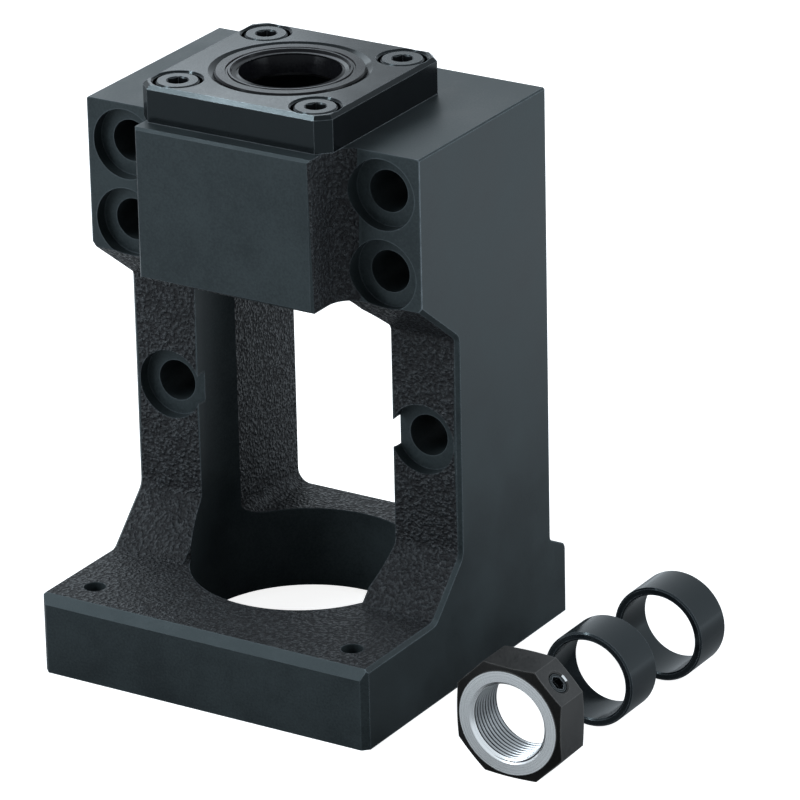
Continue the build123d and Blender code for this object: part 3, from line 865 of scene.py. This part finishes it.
# %% Blackened flats and cones
def nut_black(name, dark, light, mirrored):
    material, tree, shader, place = new_material(name, dark, Specular_IOR_Level=mirrored)
    marks = use_group(tree, machined_marks, Place=place, Along_X=0.5, Along_Y=0.05, Along_Z=0.5)
    film = mix_colour(tree, marks["Cloud"], dark, light)
    # A thin lighter line along sharp edges: rubbed film and painted highlight.
    edge = use_group(tree, edge_wear_and_painted_highlight, Place=place, Width=0.8 * MM)["Edge"]
    colour = mix_colour(tree, math_node(tree, "MULTIPLY", edge, 0.55), film, (0.25, 0.24, 0.23))
    rough = remap(tree, marks["Cloud"], 0.0, 1.0, to_low=0.30, to_high=0.46)
    finish(tree, shader, colour, rough, marks["Height"], depth=0.04 * MM, strength=0.5)
    return material


nut_flats = nut_black("nut_flats", (0.013, 0.0125, 0.012), (0.034, 0.032, 0.031), mirrored=0.30)
nut_cones = nut_black("nut_cones", (0.004, 0.004, 0.004), (0.010, 0.009, 0.008), mirrored=0.08)

# %% Bright turned steel
TOOL_PITCH = 0.22 * MM
ROOT_FADE = 0.30 * MM
BLACKENED = (0.02, 0.02, 0.022)


def turned_bright(name, root_r, dark, light):
    """Bright turned steel, black from a radius outwards, as the roots of a thread are."""
    material, tree, shader, place = new_material(name, light, Metallic=1.0)
    centred = vector_node(tree, "SUBTRACT", place, tuple(nut_centre))
    radius = vector_node(tree, "LENGTH", vector_node(tree, "MULTIPLY", centred, (1.0, 0.0, 1.0)))
    rings = use_group(tree, turned_rings, Radius=radius, Pitch=TOOL_PITCH)["Height"]
    steel = mix_colour(tree, rings, dark, light)
    root = remap(tree, radius, root_r, root_r + ROOT_FADE)
    colour = mix_colour(tree, root, steel, BLACKENED)
    rough = remap(tree, rings, 0.2, 0.8, to_low=0.22, to_high=0.36)
    finish(tree, shader, colour, rough, rings, depth=0.03 * MM, strength=0.5)
    return material


turned_ring = turned_bright("turned_ring", ACROSS, dark=(0.60, 0.60, 0.60), light=(0.92, 0.92, 0.92))
# Painted shade down the bore: the thread's steel is made darker than the ring's.
thread_steel_in_painted_shade = turned_bright("thread", 11.85 * MM, dark=(0.26, 0.27, 0.28), light=(0.48, 0.49, 0.50))

# %% Give each face of the nut its finish
FLATS, CONES, RING, THREAD = range(4)
BORE_REACH = MOUTH_R + 0.1 * MM


def nut_finish(centre, normal):
    """The finish of a face of the nut, from where it lies and which way it looks."""
    away = centre - nut_centre
    radius = sqrt(away.x ** 2 + away.z ** 2)
    is_end = abs(normal.y) > 0.99
    is_mouth = 0.68 < abs(normal.y) < 0.73
    if radius < BORE_REACH and not is_end and not is_mouth:
        return THREAD
    if normal.y < -0.99 or is_mouth:
        return RING
    if abs(normal.y) > 0.9 and radius > RING_R:
        return CONES
    return FLATS


nut.data.materials.clear()
for material in (nut_flats, nut_cones, turned_ring, thread_steel_in_painted_shade):
    nut.data.materials.append(material)
for polygon in nut.data.polygons:
    polygon.material_index = nut_finish(polygon.center, polygon.normal)
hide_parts("lock_nut")
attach(nut, "bracket")
print("faces of the thread:", sum(face.material_index == THREAD for face in nut.data.polygons))

# %% [markdown]
# ## Floor and backdrop
#
# The picture's background is plain white, and the object stands on a pale sheet. More light could make the
# sheet white, but it would wash out the object too. With Light Path's Is Camera Ray, the floor glows for the
# camera alone, so that it meets the white world behind it, and the object's soft shadow stays on it. For
# rays that a surface mirrors, the glow begins away from the object's foot, because on a real table the
# object shades the sheet near by, and the low faces of a black casting show that.

# %% Rays that show the background
# The light's cold white, for lamps, world and floor alike.
COLD_LIGHT = (0.84, 0.93, 1.0)
PLAIN_WHITE = (1.0, 1.0, 1.0)


def background_rays(tree):
    """One for rays straight to the camera, and one for rays that a surface mirrors or lets through."""
    ray = add_node(tree, "ShaderNodeLightPath").outputs
    return ray["Is Camera Ray"], math_node(tree, "MAXIMUM", ray["Is Glossy Ray"], ray["Is Transmission Ray"])


print("light:", COLD_LIGHT)

# %% Floor
FLOOR_HALF = 3.0
GLOW_NEAR, GLOW_FAR = 0.09, 0.42
SHEET_TO_OBJECT, SHEET_TO_CAMERA = (0.52,) * 3, (0.80,) * 3
CAMERA_GLOW, MIRRORED_GLOW = 0.88, 0.8


def pale_floor():
    material, tree, shader, place = new_material(
        "pale_floor", SHEET_TO_CAMERA, Roughness=0.9, Specular_IOR_Level=0.1
    )
    camera_ray, mirrored = background_rays(tree)
    sheet = mix_colour(tree, camera_ray, SHEET_TO_OBJECT, SHEET_TO_CAMERA)
    tree.links.new(sheet, shader.inputs["Base Color"])
    far = remap(tree, vector_node(tree, "LENGTH", place), GLOW_NEAR, GLOW_FAR)
    mirrored_far = math_node(tree, "MULTIPLY", mirrored, far)
    glow = weighted(tree, (camera_ray, CAMERA_GLOW), (mirrored_far, MIRRORED_GLOW))
    tree.links.new(glow, shader.inputs["Emission Strength"])
    tree.links.new(mix_colour(tree, camera_ray, COLD_LIGHT, PLAIN_WHITE), shader.inputs["Emission Color"])
    return material


floor_mesh = bpy.data.meshes.new("floor")
corners = [(x * FLOOR_HALF, y * FLOOR_HALF, 0) for x, y in ((-1, -1), (1, -1), (1, 1), (-1, 1))]
floor_mesh.from_pydata(corners, [], [(0, 1, 2, 3)])
floor_mesh.materials.append(pale_floor())
floor = bpy.data.objects.new("floor", floor_mesh)
scene.collection.objects.link(floor)
print("floor, m across:", 2 * FLOOR_HALF)

# %% [markdown]
# ## Light
#
# Black metal is lit by what it mirrors, so a bright point lamp would only put a dot on it. The lamps are
# soft boxes, placed where their reflections should lie: one behind on the left for the tops of the lid and
# the head, one on the right for the big flat side, one in front on the left for the block and the flange,
# and a small one high up whose reflection runs along the lid's bevel. The world is a dim cold white that
# fills the shadows. The camera and mirrored rays see it at full strength, as the white background.

# %% World
FILL = 0.25


def studio_world():
    world = bpy.data.worlds.new("studio")
    world.use_nodes = True
    tree = world.node_tree
    background = tree.nodes["Background"]
    camera_ray, mirrored = background_rays(tree)
    tree.links.new(mix_colour(tree, camera_ray, COLD_LIGHT, PLAIN_WHITE), background.inputs["Color"])
    shown = math_node(tree, "MAXIMUM", camera_ray, mirrored)
    tree.links.new(remap(tree, shown, 0.0, 1.0, to_low=FILL), background.inputs["Strength"])
    return world


scene.world = studio_world()
print("world:", scene.world.name, "fill:", FILL)

# %% Soft boxes
HEART = Vector((0.02, 0.0, 0.09))


def soft_box(name, place, width, height, watts):
    """A rectangular lamp at a place, in metres, that looks at the heart of the object."""
    lamp = bpy.data.lights.new(name, "AREA")
    lamp.shape = "RECTANGLE"
    lamp.size = width
    lamp.size_y = height
    lamp.energy = watts
    lamp.color = COLD_LIGHT
    box = bpy.data.objects.new(name, lamp)
    scene.collection.objects.link(box)
    aim = (HEART - Vector(place)).to_track_quat("-Z", "Y")
    box.matrix_world = Matrix.Translation(Vector(place)) @ aim.to_matrix().to_4x4()


soft_box("behind", (-0.90, 0.70, 0.85), width=0.9, height=0.5, watts=4)
soft_box("right_side", (1.0, 0.25, 0.45), width=0.7, height=0.9, watts=7)
soft_box("front_left", (-0.7, -0.9, 0.55), width=0.6, height=0.6, watts=8)
soft_box("bevel_line", (-0.62, -0.50, 1.19), width=0.18, height=0.18, watts=4)
